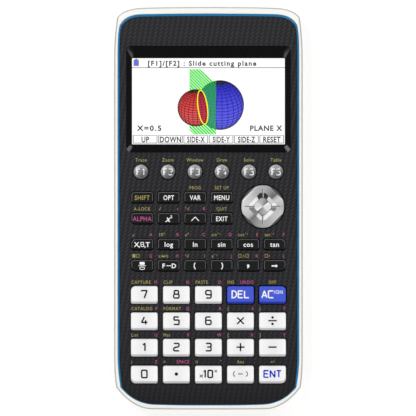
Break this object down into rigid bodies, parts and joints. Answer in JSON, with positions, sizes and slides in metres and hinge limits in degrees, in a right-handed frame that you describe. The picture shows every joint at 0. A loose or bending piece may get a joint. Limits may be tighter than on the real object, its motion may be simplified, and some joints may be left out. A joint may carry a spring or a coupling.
{
  "type": "graphing calculator",
  "caption": "Handheld graphing calculator with a colour display window, round function keys, a rocking cursor pad, number keys and a hinged battery cover on the back.",
  "frame": {"origin": "middle of the footprint, on the surface the calculator lies on", "axes": "+X to the right of the keypad, +Y along the length towards the display end, +Z out of the key face"},
  "size_m": [0.089, 0.1886, 0.0186],
  "materials": {
    "white_case": "fine satin moulded white plastic",
    "blue_trim": "glossy blue edge ring",
    "black_plate": "near-black plastic with a fine slanted texture",
    "clear_window": "clear flat window with a gloss black surround",
    "display_panel": "colour display module in a metal frame",
    "circuit_board": "green fibreglass board",
    "keypad_rubber": "grey silicone sheet with domes",
    "battery_sleeve": "plain printed cell sleeve",
    "black_key": "satin black key with a fine lighter edge",
    "white_key": "white key with dark numbers",
    "blue_key": "blue key with white lettering",
    "function_key_metal": "round metallic grey key",
    "cursor_silver": "silver pad brushed in circles",
    "socket_steel": "plated socket shell",
    "hard_black": "plain black hard plastic"
  },
  "bodies": {
    "case": {"rear_case": "white_case", "front_case": "black_plate", "edge_trim": "blue_trim", "display_window": "clear_window", "lcd_panel": "display_panel", "circuit_board": "circuit_board", "keypad_membrane": "keypad_rubber", "battery_cells": "battery_sleeve", "usb_socket": "socket_steel", "link_jack": "hard_black"},
    "battery_cover": {"battery_cover": "white_case"},
    "cursor_pivot": {"cursor_pivot": "hard_black"},
    "cursor_pad": {"cursor_pad": "cursor_silver"},
    "restart_button": {"restart_button": "hard_black"},
    "key_f1": {"key_f1": "function_key_metal"},
    "key_f2": {"key_f2": "function_key_metal"},
    "key_f3": {"key_f3": "function_key_metal"},
    "key_f4": {"key_f4": "function_key_metal"},
    "key_f5": {"key_f5": "function_key_metal"},
    "key_f6": {"key_f6": "function_key_metal"},
    "key_shift": {"key_shift": "black_key"},
    "key_options": {"key_options": "black_key"},
    "key_variables": {"key_variables": "black_key"},
    "key_menu": {"key_menu": "black_key"},
    "key_alpha": {"key_alpha": "black_key"},
    "key_square": {"key_square": "black_key"},
    "key_power": {"key_power": "black_key"},
    "key_exit": {"key_exit": "black_key"},
    "key_x_theta_t": {"key_x_theta_t": "black_key"},
    "key_log": {"key_log": "black_key"},
    "key_ln": {"key_ln": "black_key"},
    "key_sin": {"key_sin": "black_key"},
    "key_cos": {"key_cos": "black_key"},
    "key_tan": {"key_tan": "black_key"},
    "key_fraction": {"key_fraction": "black_key"},
    "key_decimal_toggle": {"key_decimal_toggle": "black_key"},
    "key_open_bracket": {"key_open_bracket": "black_key"},
    "key_close_bracket": {"key_close_bracket": "black_key"},
    "key_comma": {"key_comma": "black_key"},
    "key_arrow": {"key_arrow": "black_key"},
    "key_7": {"key_7": "white_key"},
    "key_8": {"key_8": "white_key"},
    "key_9": {"key_9": "white_key"},
    "key_delete": {"key_delete": "blue_key"},
    "key_clear_on": {"key_clear_on": "blue_key"},
    "key_4": {"key_4": "white_key"},
    "key_5": {"key_5": "white_key"},
    "key_6": {"key_6": "white_key"},
    "key_multiply": {"key_multiply": "white_key"},
    "key_divide": {"key_divide": "white_key"},
    "key_1": {"key_1": "white_key"},
    "key_2": {"key_2": "white_key"},
    "key_3": {"key_3": "white_key"},
    "key_plus": {"key_plus": "white_key"},
    "key_minus": {"key_minus": "white_key"},
    "key_0": {"key_0": "white_key"},
    "key_point": {"key_point": "white_key"},
    "key_exponent": {"key_exponent": "white_key"},
    "key_negate": {"key_negate": "white_key"},
    "key_execute": {"key_execute": "white_key"}
  },
  "joints": [
    {"name": "battery_cover_hinge", "type": "hinge", "parent": "case", "child": "battery_cover", "pos_m": [0, 0.0231, 0.0005], "axis": [-1, 0, 0], "range_deg": [0, 80]},
    {"name": "cursor_pivot_tilt", "type": "hinge", "parent": "case", "child": "cursor_pivot", "pos_m": [0.0255, 0.0007, 0.0118], "axis": [1, 0, 0], "range_deg": [-2.5, 2.5], "stiffness_Nm_per_rad": 0.15},
    {"name": "cursor_pad_tilt", "type": "hinge", "parent": "cursor_pivot", "child": "cursor_pad", "pos_m": [0.0255, 0.0007, 0.0137], "axis": [0, 1, 0], "range_deg": [-2.5, 2.5], "stiffness_Nm_per_rad": 0.15},
    {"name": "restart_button_press", "type": "slide", "parent": "case", "child": "restart_button", "axis": [0, 0, 1], "range_m": [0, 0.0004], "stiffness_N_per_m": 600},
    {"name": "key_f1_press", "type": "slide", "parent": "case", "child": "key_f1", "axis": [0, 0, -1], "range_m": [0, 0.001], "stiffness_N_per_m": 600},
    {"name": "key_f2_press", "type": "slide", "parent": "case", "child": "key_f2", "axis": [0, 0, -1], "range_m": [0, 0.001], "stiffness_N_per_m": 600},
    {"name": "key_f3_press", "type": "slide", "parent": "case", "child": "key_f3", "axis": [0, 0, -1], "range_m": [0, 0.001], "stiffness_N_per_m": 600},
    {"name": "key_f4_press", "type": "slide", "parent": "case", "child": "key_f4", "axis": [0, 0, -1], "range_m": [0, 0.001], "stiffness_N_per_m": 600},
    {"name": "key_f5_press", "type": "slide", "parent": "case", "child": "key_f5", "axis": [0, 0, -1], "range_m": [0, 0.001], "stiffness_N_per_m": 600},
    {"name": "key_f6_press", "type": "slide", "parent": "case", "child": "key_f6", "axis": [0, 0, -1], "range_m": [0, 0.001], "stiffness_N_per_m": 600},
    {"name": "key_shift_press", "type": "slide", "parent": "case", "child": "key_shift", "axis": [0, 0, -1], "range_m": [0, 0.001], "stiffness_N_per_m": 600},
    {"name": "key_options_press", "type": "slide", "parent": "case", "child": "key_options", "axis": [0, 0, -1], "range_m": [0, 0.001], "stiffness_N_per_m": 600},
    {"name": "key_variables_press", "type": "slide", "parent": "case", "child": "key_variables", "axis": [0, 0, -1], "range_m": [0, 0.001], "stiffness_N_per_m": 600},
    {"name": "key_menu_press", "type": "slide", "parent": "case", "child": "key_menu", "axis": [0, 0, -1], "range_m": [0, 0.001], "stiffness_N_per_m": 600},
    {"name": "key_alpha_press", "type": "slide", "parent": "case", "child": "key_alpha", "axis": [0, 0, -1], "range_m": [0, 0.001], "stiffness_N_per_m": 600},
    {"name": "key_square_press", "type": "slide", "parent": "case", "child": "key_square", "axis": [0, 0, -1], "range_m": [0, 0.001], "stiffness_N_per_m": 600},
    {"name": "key_power_press", "type": "slide", "parent": "case", "child": "key_power", "axis": [0, 0, -1], "range_m": [0, 0.001], "stiffness_N_per_m": 600},
    {"name": "key_exit_press", "type": "slide", "parent": "case", "child": "key_exit", "axis": [0, 0, -1], "range_m": [0, 0.001], "stiffness_N_per_m": 600},
    {"name": "key_x_theta_t_press", "type": "slide", "parent": "case", "child": "key_x_theta_t", "axis": [0, 0, -1], "range_m": [0, 0.001], "stiffness_N_per_m": 600},
    {"name": "key_log_press", "type": "slide", "parent": "case", "child": "key_log", "axis": [0, 0, -1], "range_m": [0, 0.001], "stiffness_N_per_m": 600},
    {"name": "key_ln_press", "type": "slide", "parent": "case", "child": "key_ln", "axis": [0, 0, -1], "range_m": [0, 0.001], "stiffness_N_per_m": 600},
    {"name": "key_sin_press", "type": "slide", "parent": "case", "child": "key_sin", "axis": [0, 0, -1], "range_m": [0, 0.001], "stiffness_N_per_m": 600},
    {"name": "key_cos_press", "type": "slide", "parent": "case", "child": "key_cos", "axis": [0, 0, -1], "range_m": [0, 0.001], "stiffness_N_per_m": 600},
    {"name": "key_tan_press", "type": "slide", "parent": "case", "child": "key_tan", "axis": [0, 0, -1], "range_m": [0, 0.001], "stiffness_N_per_m": 600},
    {"name": "key_fraction_press", "type": "slide", "parent": "case", "child": "key_fraction", "axis": [0, 0, -1], "range_m": [0, 0.001], "stiffness_N_per_m": 600},
    {"name": "key_decimal_toggle_press", "type": "slide", "parent": "case", "child": "key_decimal_toggle", "axis": [0, 0, -1], "range_m": [0, 0.001], "stiffness_N_per_m": 600},
    {"name": "key_open_bracket_press", "type": "slide", "parent": "case", "child": "key_open_bracket", "axis": [0, 0, -1], "range_m": [0, 0.001], "stiffness_N_per_m": 600},
    {"name": "key_close_bracket_press", "type": "slide", "parent": "case", "child": "key_close_bracket", "axis": [0, 0, -1], "range_m": [0, 0.001], "stiffness_N_per_m": 600},
    {"name": "key_comma_press", "type": "slide", "parent": "case", "child": "key_comma", "axis": [0, 0, -1], "range_m": [0, 0.001], "stiffness_N_per_m": 600},
    {"name": "key_arrow_press", "type": "slide", "parent": "case", "child": "key_arrow", "axis": [0, 0, -1], "range_m": [0, 0.001], "stiffness_N_per_m": 600},
    {"name": "key_7_press", "type": "slide", "parent": "case", "child": "key_7", "axis": [0, 0, -1], "range_m": [0, 0.001], "stiffness_N_per_m": 600},
    {"name": "key_8_press", "type": "slide", "parent": "case", "child": "key_8", "axis": [0, 0, -1], "range_m": [0, 0.001], "stiffness_N_per_m": 600},
    {"name": "key_9_press", "type": "slide", "parent": "case", "child": "key_9", "axis": [0, 0, -1], "range_m": [0, 0.001], "stiffness_N_per_m": 600},
    {"name": "key_delete_press", "type": "slide", "parent": "case", "child": "key_delete", "axis": [0, 0, -1], "range_m": [0, 0.001], "stiffness_N_per_m": 600},
    {"name": "key_clear_on_press", "type": "slide", "parent": "case", "child": "key_clear_on", "axis": [0, 0, -1], "range_m": [0, 0.001], "stiffness_N_per_m": 600},
    {"name": "key_4_press", "type": "slide", "parent": "case", "child": "key_4", "axis": [0, 0, -1], "range_m": [0, 0.001], "stiffness_N_per_m": 600},
    {"name": "key_5_press", "type": "slide", "parent": "case", "child": "key_5", "axis": [0, 0, -1], "range_m": [0, 0.001], "stiffness_N_per_m": 600},
    {"name": "key_6_press", "type": "slide", "parent": "case", "child": "key_6", "axis": [0, 0, -1], "range_m": [0, 0.001], "stiffness_N_per_m": 600},
    {"name": "key_multiply_press", "type": "slide", "parent": "case", "child": "key_multiply", "axis": [0, 0, -1], "range_m": [0, 0.001], "stiffness_N_per_m": 600},
    {"name": "key_divide_press", "type": "slide", "parent": "case", "child": "key_divide", "axis": [0, 0, -1], "range_m": [0, 0.001], "stiffness_N_per_m": 600},
    {"name": "key_1_press", "type": "slide", "parent": "case", "child": "key_1", "axis": [0, 0, -1], "range_m": [0, 0.001], "stiffness_N_per_m": 600},
    {"name": "key_2_press", "type": "slide", "parent": "case", "child": "key_2", "axis": [0, 0, -1], "range_m": [0, 0.001], "stiffness_N_per_m": 600},
    {"name": "key_3_press", "type": "slide", "parent": "case", "child": "key_3", "axis": [0, 0, -1], "range_m": [0, 0.001], "stiffness_N_per_m": 600},
    {"name": "key_plus_press", "type": "slide", "parent": "case", "child": "key_plus", "axis": [0, 0, -1], "range_m": [0, 0.001], "stiffness_N_per_m": 600},
    {"name": "key_minus_press", "type": "slide", "parent": "case", "child": "key_minus", "axis": [0, 0, -1], "range_m": [0, 0.001], "stiffness_N_per_m": 600},
    {"name": "key_0_press", "type": "slide", "parent": "case", "child": "key_0", "axis": [0, 0, -1], "range_m": [0, 0.001], "stiffness_N_per_m": 600},
    {"name": "key_point_press", "type": "slide", "parent": "case", "child": "key_point", "axis": [0, 0, -1], "range_m": [0, 0.001], "stiffness_N_per_m": 600},
    {"name": "key_exponent_press", "type": "slide", "parent": "case", "child": "key_exponent", "axis": [0, 0, -1], "range_m": [0, 0.001], "stiffness_N_per_m": 600},
    {"name": "key_negate_press", "type": "slide", "parent": "case", "child": "key_negate", "axis": [0, 0, -1], "range_m": [0, 0.001], "stiffness_N_per_m": 600},
    {"name": "key_execute_press", "type": "slide", "parent": "case", "child": "key_execute", "axis": [0, 0, -1], "range_m": [0, 0.001], "stiffness_N_per_m": 600}
  ]
}
